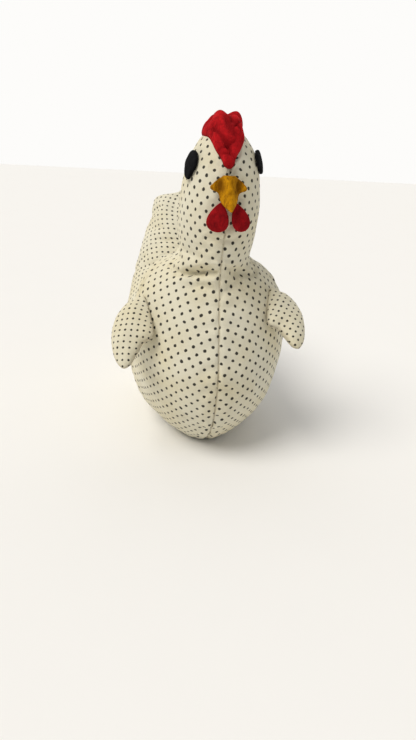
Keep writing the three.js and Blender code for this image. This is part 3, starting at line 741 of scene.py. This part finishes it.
def build_panels():
    """The four cover panels: front or back, side, points, normals, relief, seam distance and uv of each."""
    s = bpy.context.scene.hen_cotton
    made = []
    for front in (True, False):
        start, pole = (BASE_FRONT, 0.0) if front else (BASE_BACK, 1.0)
        t, angle = panel_places(start, pole, PANEL_ROWS, PANEL_COLUMNS)
        flat = cut_pattern(skin(t, angle))
        for side, label in ((1, "left"), (-1, "right")):
            turned = angle * side
            points, normals = skin(t, turned), skin_normal(t, turned)
            points[..., 2] = np.maximum(points[..., 2], 0)
            relief, away = cover_relief(points, t, turned, s.seam_depth / MM, front)
            relief = relief * smoothstep(points[..., 2] / 3 + 0.02)
            if front:
                place = np.array([side * 16.0, -41, 38])
                row = np.array([side * 0.89, 0, -0.455])
            else:
                place = np.array([side * 22.0 - 3, 60, 62])
                row = np.array([side * 0.1, 0.85, 0.5])
            shift = np.array([0.9 + side * 0.7, 1.7 * side])
            uv = turn_pattern(flat * [side, 1], points, place, row, shift) * (1 if front else BACK_PRINT)
            panel = dict(front=front, label=label, points=points, normals=normals)
            made.append(dict(panel, relief=relief, away=away, uv=uv))
    return made


def wall(obj, thickness=CLOTH):
    """Gives cloth its thickness, inwards."""
    modifier = obj.modifiers.new("cloth", "SOLIDIFY")
    modifier.thickness = thickness * MM
    modifier.offset = -1
    return obj


def joint(name):
    """The frame's joint of that name."""
    return next(j for j in frame["joints"] if j["name"] == name)


def bend_neck(obj):
    """Bakes the piece's transform into its mesh."""
    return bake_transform(obj)


def bend_tail(obj):
    """Bakes the piece's transform into its mesh."""
    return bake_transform(obj)


class HEN_OT_cover(bpy.types.Operator):
    """Sew the four panels of the cover and the flat base"""

    bl_idname = "hen.cover"
    bl_label = "Cover"

    def execute(self, context):
        panels = build_panels()
        puff_cover(panels)
        for p in panels:
            points = p["points"] + p.get("puff", 0) + p["normals"] * p["relief"][..., None]
            points[..., 2] = np.maximum(points[..., 2], (CLOTH + 0.02) * smoothstep(p["away"] / 0.8))
            part = "front" if p["front"] else "back"
            faces = faces_out(points, p["normals"])
            name = f"{part}_cover_{p['label']}"
            obj = make_piece(name, points, faces, p["uv"], {"seam": p["away"]}, outward=False)
            finish_piece(obj, cotton(), "cotton", f"{part}_panel_{p['label']}")
            wall(obj)
            (bend_neck if p["front"] else bend_tail)(obj)
        self.make_base()
        return {"FINISHED"}

    def make_base(self):
        """Flat oval of cloth: rings from its middle to the edge of the cover's foot."""
        half = base_outline(49)
        edge = np.vstack([half, half[-2:0:-1] * [-1, 1]])
        middle = np.array([0, edge[:, 1].mean()])
        r = np.linspace(1, 0, 22)[:, None, None]
        flat = middle + (edge[None] - middle) * r * 0.985
        reach = np.linalg.norm(edge - middle, axis=1)
        away = (1 - r[..., 0]) * reach[None]
        rise = 0.35 * np.exp(-away / 1.1)
        points = np.concatenate([flat, rise[..., None]], -1)
        uv = flat @ np.array([[0.94, 0.34], [-0.34, 0.94]])
        faces = grid_faces(*points.shape[:2], looped=True)
        obj = make_piece("base_cloth", points, faces, uv, {"seam": away}, outward=False)
        face_along(obj, (0, 0, -1))
        finish_piece(obj, cotton(), "cotton", "base_panel")
        wall(obj)
        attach(obj, "torso")


# ---- Stitches ----


def stitches(path, length=2.1, gap=0.5, radius=0.17):
    """Small closed capsules of thread along a path, dipping at both ends: rings across it, each as wide as
    the root of 1 - x² at its place x along the stitch. The path's columns are points and outward vectors."""
    points, out = path[:, :3], path[:, 3:]
    run = np.r_[0, np.cumsum(np.linalg.norm(np.diff(points, axis=0), axis=1))]
    count = int(run[-1] / (length + gap))
    x = np.linspace(-1, 1, STITCH_RINGS)
    at = (np.arange(count)[:, None] + 0.5) * run[-1] / count + x[None] * length / 2
    centre = np.stack([np.interp(at, run, points[:, k]) for k in range(3)], -1)
    normal = unit(np.stack([np.interp(at, run, out[:, k]) for k in range(3)], -1))
    forward = unit(np.gradient(centre, axis=1))
    side = unit(np.cross(forward, normal))
    width = radius * np.sqrt(np.maximum(1 - x**2, 0.0)) + 1e-4
    centre = centre - normal * (0.22 * x[None, :, None] ** 4)
    turn = np.linspace(0, 2 * math.pi, STITCH_SIDES, endpoint=False)[:, None]
    ring = side[:, :, None] * np.cos(turn) + normal[:, :, None] * np.sin(turn)
    rings = centre[:, :, None] + ring * width[None, :, None, None]
    one = grid_faces(STITCH_RINGS, STITCH_SIDES, looped=True)
    faces = (one[None] + (np.arange(count) * STITCH_RINGS * STITCH_SIDES)[:, None, None]).reshape(-1, 4)
    return rings.reshape(-1, 3), faces


def seam_path(t, angle, depth):
    """Points on the body a little below its surface, with the outward vector at each."""
    points, normals = skin(t, angle), skin_normal(t, angle)
    points = points - normals * depth
    points[:, 2] = np.maximum(points[:, 2], 0.2)
    return np.hstack([points, normals])


class HEN_OT_stitches(bpy.types.Operator):
    """Run the thread of every seam"""

    bl_idname = "hen.stitches"
    bl_label = "Stitches"

    def execute(self, context):
        depth = context.scene.hen_cotton.seam_depth / MM - 0.06
        saddle = SIDE_SEAM[-1, 0]
        n = 400
        front = np.r_[np.linspace(saddle, 0.004, n), np.linspace(0.004, BASE_FRONT - 0.004, n)]
        back = np.r_[np.linspace(saddle, 0.996, n), np.linspace(0.996, BASE_BACK + 0.004, n)]
        half = np.r_[np.full(n, math.pi), np.zeros(n)]
        up = seam_place(np.linspace(0.02, 1, n))
        side_t = np.r_[up[:, 0], up[::-1, 0]]
        side_angle = np.r_[-up[:, 1], up[::-1, 1]]
        runs = {
            "front_seam_stitches": (seam_path(front, half, depth), "centre_front_thread", bend_neck),
            "back_seam_stitches": (seam_path(back, half, depth), "centre_back_thread", bend_tail),
            "side_seam_stitches": (seam_path(side_t, side_angle, depth), "side_seam_thread", None),
            "base_seam_stitches": (self.base_path(), "base_seam_thread", None),
        }
        material = shared("thread_spun_polyester", plain_fibre, "#D8D0B6", "#B5AA8C", 0.4)
        for name, (path, node, bend) in runs.items():
            obj = make_piece(name, *stitches(path))
            finish_piece(obj, material, "thread", node)
            if bend:
                bend(obj)
            else:
                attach(obj, "torso")
        return {"FINISHED"}

    def base_path(self):
        """Loop just inside the foot of the cover, a thread's radius above level 0."""
        half = base_outline(200) * [0.95, 1]
        loop = np.vstack([half, half[-2::-1] * [-1, 1]])
        middle = loop.mean(0)
        loop = middle + (loop - middle) * 0.955
        return np.hstack([loop, np.full((len(loop), 1), 0.3), np.tile([0, 0, 1.0], (len(loop), 1))])


# ---- Filling ----


class HEN_OT_filling(bpy.types.Operator):
    """Stuff the body with loose fibre, in a front and a back mass"""

    bl_idname = "hen.filling"
    bl_label = "Filling"

    def execute(self, context):
        masses = (
            ("front_filling", (0.0, 0.497), ("head_filling", "body_filling"), bend_neck),
            ("back_filling", (0.503, 1.0), ("tail_filling",), bend_tail),
        )
        for name, (low, high), nodes, bend in masses:
            t = np.linspace(low, high, 60)[:, None]
            angle = np.linspace(0, 2 * math.pi, 72, endpoint=False)[None]
            points, normals = skin(t, angle), skin_normal(t, angle)
            points = points - normals * (BODY_FILL_DEPTH - 0.5 * waves(points, 7, 21))[..., None]
            points[..., 2] = np.maximum(points[..., 2], 2.2)
            obj = make_piece(name, *closed_rings(points))
            finish_piece(obj, loose_fibre(), "filling", *nodes)
            bend(obj)
        return {"FINISHED"}


# ---- Wings ----


def wing_frame(label, side, scale, droop):
    """Root point and directions of a wing, from its joint: along the root, out, and up from its face."""
    hinge = joint(f"wing_{label}_flap")
    along = unit(np.array(hinge["axis"], float)) * side
    flat = unit(np.array([side, 0.0, 0.0]) - along * (side * along[0]))
    over = np.cross(along, flat) * side
    tilt = math.radians(droop)
    out = flat * math.cos(tilt) - over * math.sin(tilt)
    up = over * math.cos(tilt) + flat * math.sin(tilt)
    return np.array(hinge["pos_m"]) / MM, along, out, up


def wing_surface(sign, rows=34, columns=132, inset=0.0, lift=WING_THICK):
    """One face of a wing: r runs from its middle to the sewn edge, and it swells by the root of 1 - r² to
    the power 1.15. The root's edge reaches back to the body. Returns out, forward and height, the distance to
    the sewn edge, and the place on the flat cloth, which is the length run over the swell from the middle."""
    edge = through(WING_OUTLINE, np.linspace(0, 1, columns, endpoint=False), closed=True)
    edge = edge - np.c_[2.3 * smoothstep(1 - edge[:, 0] / 3.5), np.zeros(columns)]
    r = np.sin(np.linspace(0, math.pi / 2, rows))[:, None]
    spoke = edge - WING_MIDDLE
    reach = np.linalg.norm(spoke, axis=1)
    flat = WING_MIDDLE + spoke[None] * (r * (reach - inset) / reach)[..., None]
    swell = np.sqrt(np.maximum(1 - r**2, 0)) ** 1.15
    away = (1 - r) * reach[None]
    place = np.dstack([flat, np.full(flat.shape[:2], sign * 5.0)])
    pucker = 0.35 * waves(place, 3.2, 31) * np.exp(-away / 2.4) * smoothstep(away / 0.7)
    lumps = 0.5 * waves(place, 10, 37) * smoothstep(away / 4)
    height = lift * swell + np.broadcast_to(pucker + lumps, swell.shape[:1] + (columns,)) * (inset == 0)
    shape = np.dstack([flat, sign * np.maximum(height, 0)])
    run = run_length(shape, 0)
    cloth = WING_MIDDLE + spoke[None] / reach[None, :, None] * run[..., None]
    return shape, away, cloth


class HEN_OT_wings(bpy.types.Operator):
    """Sew and stuff both wings"""

    bl_idname = "hen.wings"
    bl_label = "Wings"

    def execute(self, context):
        for label, side, scale, droop in WINGS:
            root, along, out, up = wing_frame(label, side, scale, droop)
            axes = np.array([out, along, up]) * scale
            for part, sign in (("upper", 1), ("under", -1)):
                shape, away, cloth = wing_surface(sign)
                points = root + shape @ axes
                turn = 0.35 * side
                rows = np.array([[math.cos(turn), -math.sin(turn)], [math.sin(turn), math.cos(turn)]])
                uv = cloth * scale * WING_PRINT @ rows + [sign * 1.3, 0.6]
                faces = grid_faces(*points.shape[:2], looped=True)
                name = f"wing_{label}_{part}_cover"
                obj = make_piece(name, points, faces, uv, {"seam": away * scale}, outward=False)
                face_along(obj, up * sign)
                finish_piece(obj, cotton(), "cotton", f"wing_{label}_{part}")
                wall(obj, WING_CLOTH)
                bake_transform(obj)
            inner = dict(rows=14, columns=48, inset=1.4, lift=WING_THICK - 0.9)
            over, below = (wing_surface(sign, **inner)[0] for sign in (1, -1))
            rings = np.concatenate([over[1:], below[-2:0:-1]])
            obj = make_piece(f"wing_{label}_fibre", *closed_rings(root + rings @ axes))
            finish_piece(obj, loose_fibre(), "filling", f"wing_{label}_filling")
            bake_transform(obj)
        return {"FINISHED"}


# ---- Felt pieces ----


def crown(slope, sideways, lift):
    """Point over the crown's ellipsoid: slope turns from the face over the top, sideways to the left."""
    direction = np.stack(
        [np.sin(sideways), -np.cos(sideways) * np.cos(slope), np.cos(sideways) * np.sin(slope)], -1
    )
    reach = 1 / np.linalg.norm(direction / CROWN_SIZE, axis=-1)
    return direction * (reach + lift)[..., None] + CROWN_CENTRE


def line_distance(w, v, start, stop):
    """Distance in the (w, v) plane to a straight stretch."""
    a, b = np.array(start, float), np.array(stop, float)
    p = np.stack([w, v], -1) - a
    share = np.clip(p @ (b - a) / ((b - a) @ (b - a)), 0, 1)
    return np.linalg.norm(p - share[..., None] * (b - a), axis=-1)


class HEN_OT_comb(bpy.types.Operator):
    """Crumple the felt comb over the crown"""

    bl_idname = "hen.comb"
    bl_label = "Comb"

    def execute(self, context):
        """Rows w run from the forehead tip over the crown, columns v from the hen's right to its left. The
        felt stands highest at two lobes, with a valley between them that turns down to the hen's left as a
        fold. A ridge crosses below it, and a crease and a hollow are pressed in on the hen's right."""
        w, v = np.meshgrid(np.linspace(0, 1, 120), np.linspace(-1, 1, 110), indexing="ij")
        low, high = COMB_SLOPE
        slope = np.radians(low + (high - low) * w)
        edges = through(COMB_EDGES, w)
        middle, half = edges.mean(-1), (edges[..., 1] - edges[..., 0]) / 2
        round_tip = np.sqrt(1 - (1 - np.clip(w / 0.045, 0.1, 1)) ** 2)
        degrees = middle + half * v * round_tip
        edge = np.sqrt(np.maximum(1 - np.abs(v) ** 5, 0)) * np.sqrt(np.clip(1 - (2 * w - 1) ** 16, 0, 1))
        ends = np.sin(math.pi * np.minimum(1, w * 0.92 + 0.08)) ** 0.6
        over = np.degrees(slope)
        lobes = 1.2 * bell(degrees + 6.5, 5) + 1.6 * bell(degrees - 6.5, 4.6)
        lobes = lobes * bell(over - 86, 22)
        valley = bell(line_distance(over / 6, degrees, (96 / 6, -0.8), (78 / 6, 0.2)), 1.5)
        fold = bell(line_distance(over / 3, degrees, (75 / 3, 1.2), (66 / 3, 6.5)), 1.3)
        ridge = bell(line_distance(over / 3, degrees, (86 / 3, -9), (60 / 3, 7.5)), 2.4)
        crease = bell(line_distance(over / 3, degrees, (70 / 3, -12), (50 / 3, -2)), 1.2)
        hollow = bell(line_distance(over / 3, degrees, (72 / 3, -2.5), (69 / 3, -1)), 2.0)
        base = crown(slope, np.radians(degrees), np.zeros_like(w))
        sharp = folds(base, 10, 41) ** 4
        lift = 2.2 * ends + lobes + 0.9 * ridge - 0.1 * valley - 1.7 * fold - 1.3 * crease - 1.5 * hollow
        lift = lift - 1.1 * sharp + 0.7 * waves(base, 5, 43) + 1.0 * bell(over - 41, 5)
        top = crown(slope, np.radians(degrees), np.maximum(0.5 + lift * edge, -0.4))
        under = crown(slope, np.radians(degrees), np.full_like(w, -0.6))
        # Painted shade: the valley, the fold, the crease, the hollow and the sharp creases are darkened.
        painted_shade = np.clip(0.8 * valley + 1.1 * fold + 0.9 * crease + hollow + 0.75 * sharp, 0, 1)
        obj = make_sheet("comb_felt", top, under, painted_shade)
        f = context.scene.hen_felt
        finish_piece(obj, shared("wool_felt_red", wool_felt, f.comb, f.comb_deep), "red_felt", "comb")
        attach(obj, "head")
        return {"FINISHED"}


class HEN_OT_beak(bpy.types.Operator):
    """Fold the felt beak down its middle"""

    bl_idname = "hen.beak"
    bl_label = "Beak"

    def execute(self, context):
        """Rows w run down the beak, columns v across it. A rounded ridge runs down the middle, the flared
        corners turn up, and a hollow lies between each of them and the ridge."""
        low, high = (np.array(c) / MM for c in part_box("beak"))
        centre, top_z, height = (low[0] + high[0]) / 2, high[2], high[2] - low[2]
        w, v = np.meshgrid(np.linspace(0, 1, 72), np.linspace(-1, 1, 64), indexing="ij")
        widths = np.array([[2.0], [3.6], [5.2], [6.5], [6.0], [4.1], [3.4], [3.2], [2.7], [1.7], [0.35]])
        half = through(widths, w)[..., 0]
        x = v * half
        reach = 1.9 + 2.6 * w**1.35
        ridge = bell(x, 2.2)
        hollow = 2.6 * bell(np.abs(x) - 3.4, 1.1) * bell(w - 0.3, 0.17)
        corner = 1.5 * smoothstep((np.abs(x) - 4.2) / 2) * bell(w - 0.32, 0.14)
        face = -35.5 - 1.1 * np.sin(math.pi * np.minimum(w, 0.6)) + 0.022 * x**2
        foot = 0.6 + np.maximum(0, w - 0.5) * reach * 1.7
        edge = np.sqrt(np.maximum(1 - np.abs(v) ** 5, 0))
        height_over = 1.2 + reach * ridge * (1 - 0.5 * np.maximum(0, w - 0.55)) - hollow + corner
        lift = height_over * (0.25 + 0.75 * edge)
        level = top_z - height * w - 0.5 * smoothstep((np.abs(x) - 3.5) / 3) * bell(w - 0.35, 0.2)
        place = np.stack([centre + x, face - foot, level], -1)
        rough = 0.22 * waves(place, 3.2, 51) * edge
        top = np.stack([centre + x, face - foot - np.maximum(lift + rough, 0.3), level], -1)
        # Painted shade: the hollows beside the ridge and the outer edges are darkened.
        painted_shade = np.clip(bell(np.abs(x) - 3.2, 1.0) * bell(w - 0.3, 0.18) * 1.5 + 0.3 * (np.abs(v) > 0.9), 0, 1)
        obj = make_sheet("beak_felt", top, place, painted_shade)
        f = context.scene.hen_felt
        finish_piece(obj, shared("wool_felt_mustard", wool_felt, f.beak, f.beak_deep), "gold_felt", "beak")
        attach(obj, "head")
        return {"FINISHED"}


class HEN_OT_wattles(bpy.types.Operator):
    """Hang the two felt wattles"""

    bl_idname = "hen.wattles"
    bl_label = "Wattles"

    def execute(self, context):
        """A drop: a narrow neck widens down its length to a round foot, and it is domed by the root of
        1 - r⁴ over its outline."""
        # Turn in degrees, half width, length.
        kinds = (("left", 21, 3.8, 10.3), ("right", -9, 4.8, 10.3))
        f = context.scene.hen_felt
        felt = shared("wool_felt_dark_red", wool_felt, f.wattle, f.wattle_deep)
        for label, turn, wide, long in kinds:
            top = np.array(joint(f"wattle_{label}_swing")["pos_m"]) / MM
            a = np.linspace(0, 2 * math.pi, 72, endpoint=False)
            down = (1 - np.cos(a)) / 2
            outline = np.stack([wide * np.sin(a) * (0.35 + 0.75 * down**0.8), -long * down], -1)
            middle = np.array([0, -long * 0.6])
            r = np.sin(np.linspace(0.02, math.pi / 2, 16))[:, None]
            flat = middle + (outline[None] - middle) * r[..., None]
            dome = np.sqrt(np.maximum(1 - r**4, 0))
            place = np.dstack([flat, np.zeros(flat.shape[:2])])
            rough = 0.3 * waves(place + top, 4.5, 61) * dome
            # It hangs thin behind the beak.
            thin = 0.2 + 0.8 * smoothstep((-flat[..., 1] / long - 0.12) / 0.4)
            front = np.dstack([flat, -(0.35 + (1.5 * dome + rough) * thin) * np.ones(flat.shape[:2])])
            back = np.dstack([flat, (0.35 * dome) * np.ones(flat.shape[:2])])
            rings = np.concatenate([front, back[::-1]])
            c, s = math.cos(math.radians(turn)), math.sin(math.radians(turn))
            x, z, y = np.moveaxis(rings, -1, 0)
            local = np.stack([x * c - z * s, y, x * s + z * c], -1)
            obj = make_piece(f"wattle_{label}_felt", *closed_rings(local + top))
            finish_piece(obj, felt, "dark_red_felt", f"wattle_{label}")
            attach(obj, f"{label}_wattle")
        return {"FINISHED"}


class HEN_OT_eyes(bpy.types.Operator):
    """Lay the black felt eyes on the sides of the head"""

    bl_idname = "hen.eyes"
    bl_label = "Eyes"

    def execute(self, context):
        """Oval patches that follow the head, hand cut: the radius swells and shrinks round the outline."""
        f = context.scene.hen_felt
        felt = shared("wool_felt_black", wool_felt, f.eye, f.eye_deep, 0.15)
        for label, side, (place, degrees), size in EYES:
            turn_out = math.radians(degrees)
            across = np.linalg.norm(skin(place, turn_out + 0.05) - skin(place, turn_out - 0.05)) / 0.1
            along = np.linalg.norm(skin(place + 0.01, turn_out) - skin(place - 0.01, turn_out)) / 0.02
            a = np.linspace(0, 2 * math.pi, 64, endpoint=False)
            corner = np.abs(np.angle(np.exp(1j * (a - 0.75))))
            cut = 1 + 0.05 * np.sin(2 * a + 0.6) + 0.03 * np.sin(3 * a + 2.2 * side)
            cut = cut - 0.22 * bell(corner, 0.4)
            r = np.array([0.03, 0.3, 0.6, 0.85, 1, 1.02, 0.98, 0.9, 0.75, 0.5, 0.25, 0.03])[:, None]
            lift = np.array([0, 0, 0, 0, 0, 0.45, 0.85, 0.98, 1.03, 1.06, 1.07, 1.07])[:, None]
            t = place + r * cut * size[1] / 2 * np.sin(a) / along
            angle = side * (turn_out - r * cut * size[0] / 2 * np.cos(a) / across)
            points = skin(t, angle) + skin_normal(t, angle) * (0.1 + EYE_THICK * lift)[..., None]
            points = points + skin_normal(t, angle) * (0.12 * waves(points, 3, 71) * (lift > 0.9))[..., None]
            obj = make_piece(f"eye_{label}_felt", *closed_rings(points))
            finish_piece(obj, felt, "black_felt", f"eye_{label}")
            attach(obj, "head")
        return {"FINISHED"}


# ---- Stage ----


class HEN_OT_stage(bpy.types.Operator):
    """Set the floor, the lamps and the camera"""

    bl_idname = "hen.stage"
    bl_label = "Stage"

    def execute(self, context):
        s = context.scene.hen_stage
        self.floor(s)
        self.lamps()
        self.camera(s)
        context.scene.view_settings.view_transform = "Standard"
        return {"FINISHED"}

    def floor(self, s):
        """A flat floor 3 m across in a pale matt paint, a hair below the hen."""
        line = np.linspace(-1500, 1500, 5)
        x, y = np.meshgrid(line, line)
        points = np.dstack([x, y, np.full_like(x, -0.05)])
        floor = make_piece("floor", points, grid_faces(5, 5), outward=False)
        material, add, link = new_material("paint_matt_pale", 0.9, 0, linear(s.floor))
        place = add("TexCoord", out="Object")
        grain = add("TexNoise", {"Vector": place, "Scale": 30.0, "Detail": 3.0})
        grain = add("Math", {0: grain, 1: 0.06}, operation="MULTIPLY")
        colours = {0: grain, 6: linear(s.floor), 7: linear("#DAD8D4")}
        link(add("Mix", colours, 2, data_type="RGBA"), "Base Color")
        floor.data.materials.append(material)

    def lamps(self):
        """A wide soft sun from the upper left, a weak one from the right, and a surround that is white behind
        the hen and dimmer in front of it."""
        kinds = (
            ("key", (-0.5, -0.25, 0.8), 35, 2.15, "#FFFBF4"),
            ("fill", (0.6, -0.6, 0.4), 60, 0.2, "#EEF3FF"),
        )
        for name, place, spread, strength, colour in kinds:
            lamp = bpy.data.lights.new(name, "SUN")
            lamp.angle, lamp.energy, lamp.color = math.radians(spread), strength, linear(colour)[:3]
            obj = bpy.data.objects.new(name, lamp)
            bpy.context.scene.collection.objects.link(obj)
            obj.location = place
            obj.rotation_euler = Vector(place).to_track_quat("Z", "Y").to_euler()
        world = bpy.data.worlds.new("surround")
        world.use_nodes = True
        tree = world.node_tree
        tree.nodes["Background"].inputs[0].default_value = linear("#FDFCFA")
        direction = add_node(tree, "TexCoord", out="Generated")
        ahead = add_node(tree, "SeparateXYZ", {0: direction}, 1)
        level = add_node(tree, "MapRange", {0: ahead, 1: -0.1, 2: 0.7, 3: 0.27, 4: 1.0})
        tree.links.new(level, tree.nodes["Background"].inputs[1])
        bpy.context.scene.world = world

    def camera(self, s):
        """A camera at its place, turned to its aim and then rolled."""
        data = bpy.data.cameras.new("camera")
        data.lens = s.lens
        data.clip_start = 0.01
        obj = bpy.data.objects.new("camera", data)
        bpy.context.scene.collection.objects.link(obj)
        back = (Vector(s.camera) - Vector(s.aim)).normalized()
        right = Vector((0, 0, 1)).cross(back).normalized()
        up = back.cross(right)
        c, q = math.cos(s.roll), math.sin(s.roll)
        right, up = right * c + up * q, up * c - right * q
        turn = Matrix((right, up, back)).transposed().to_4x4()
        obj.matrix_world = Matrix.Translation(Vector(s.camera)) @ turn
        bpy.context.scene.camera = obj


class HEN_PT_panel(bpy.types.Panel):
    """Lists the steps of the hen in the 3D view's sidebar"""

    bl_idname = "HEN_PT_panel"
    bl_label = "Stuffed hen"
    bl_space_type = "VIEW_3D"
    bl_region_type = "UI"
    bl_category = "Hen"

    def draw(self, context):
        for step in STEPS:
            self.layout.operator(step.bl_idname)


STEPS = (
    HEN_OT_stage,
    HEN_OT_cover,
    HEN_OT_stitches,
    HEN_OT_filling,
    HEN_OT_wings,
    HEN_OT_comb,
    HEN_OT_beak,
    HEN_OT_wattles,
    HEN_OT_eyes,
)
GROUPS = {"hen_cotton": HenCottonSettings, "hen_felt": HenFeltSettings, "hen_stage": HenStageSettings}


def register():
    """Registers the settings, the steps and the sidebar's panel."""
    for kind in (*GROUPS.values(), *STEPS, HEN_PT_panel):
        bpy.utils.register_class(kind)
    for name, kind in GROUPS.items():
        setattr(bpy.types.Scene, name, PointerProperty(type=kind))


def unregister():
    """Takes them all away again."""
    for name in GROUPS:
        delattr(bpy.types.Scene, name)
    for kind in (HEN_PT_panel, *reversed(STEPS), *GROUPS.values()):
        bpy.utils.unregister_class(kind)


def main():
    """Runs every step."""
    register()
    for step in STEPS:
        group, name = step.bl_idname.split(".")
        getattr(getattr(bpy.ops, group), name)()


if __name__ == "__main__":
    main()
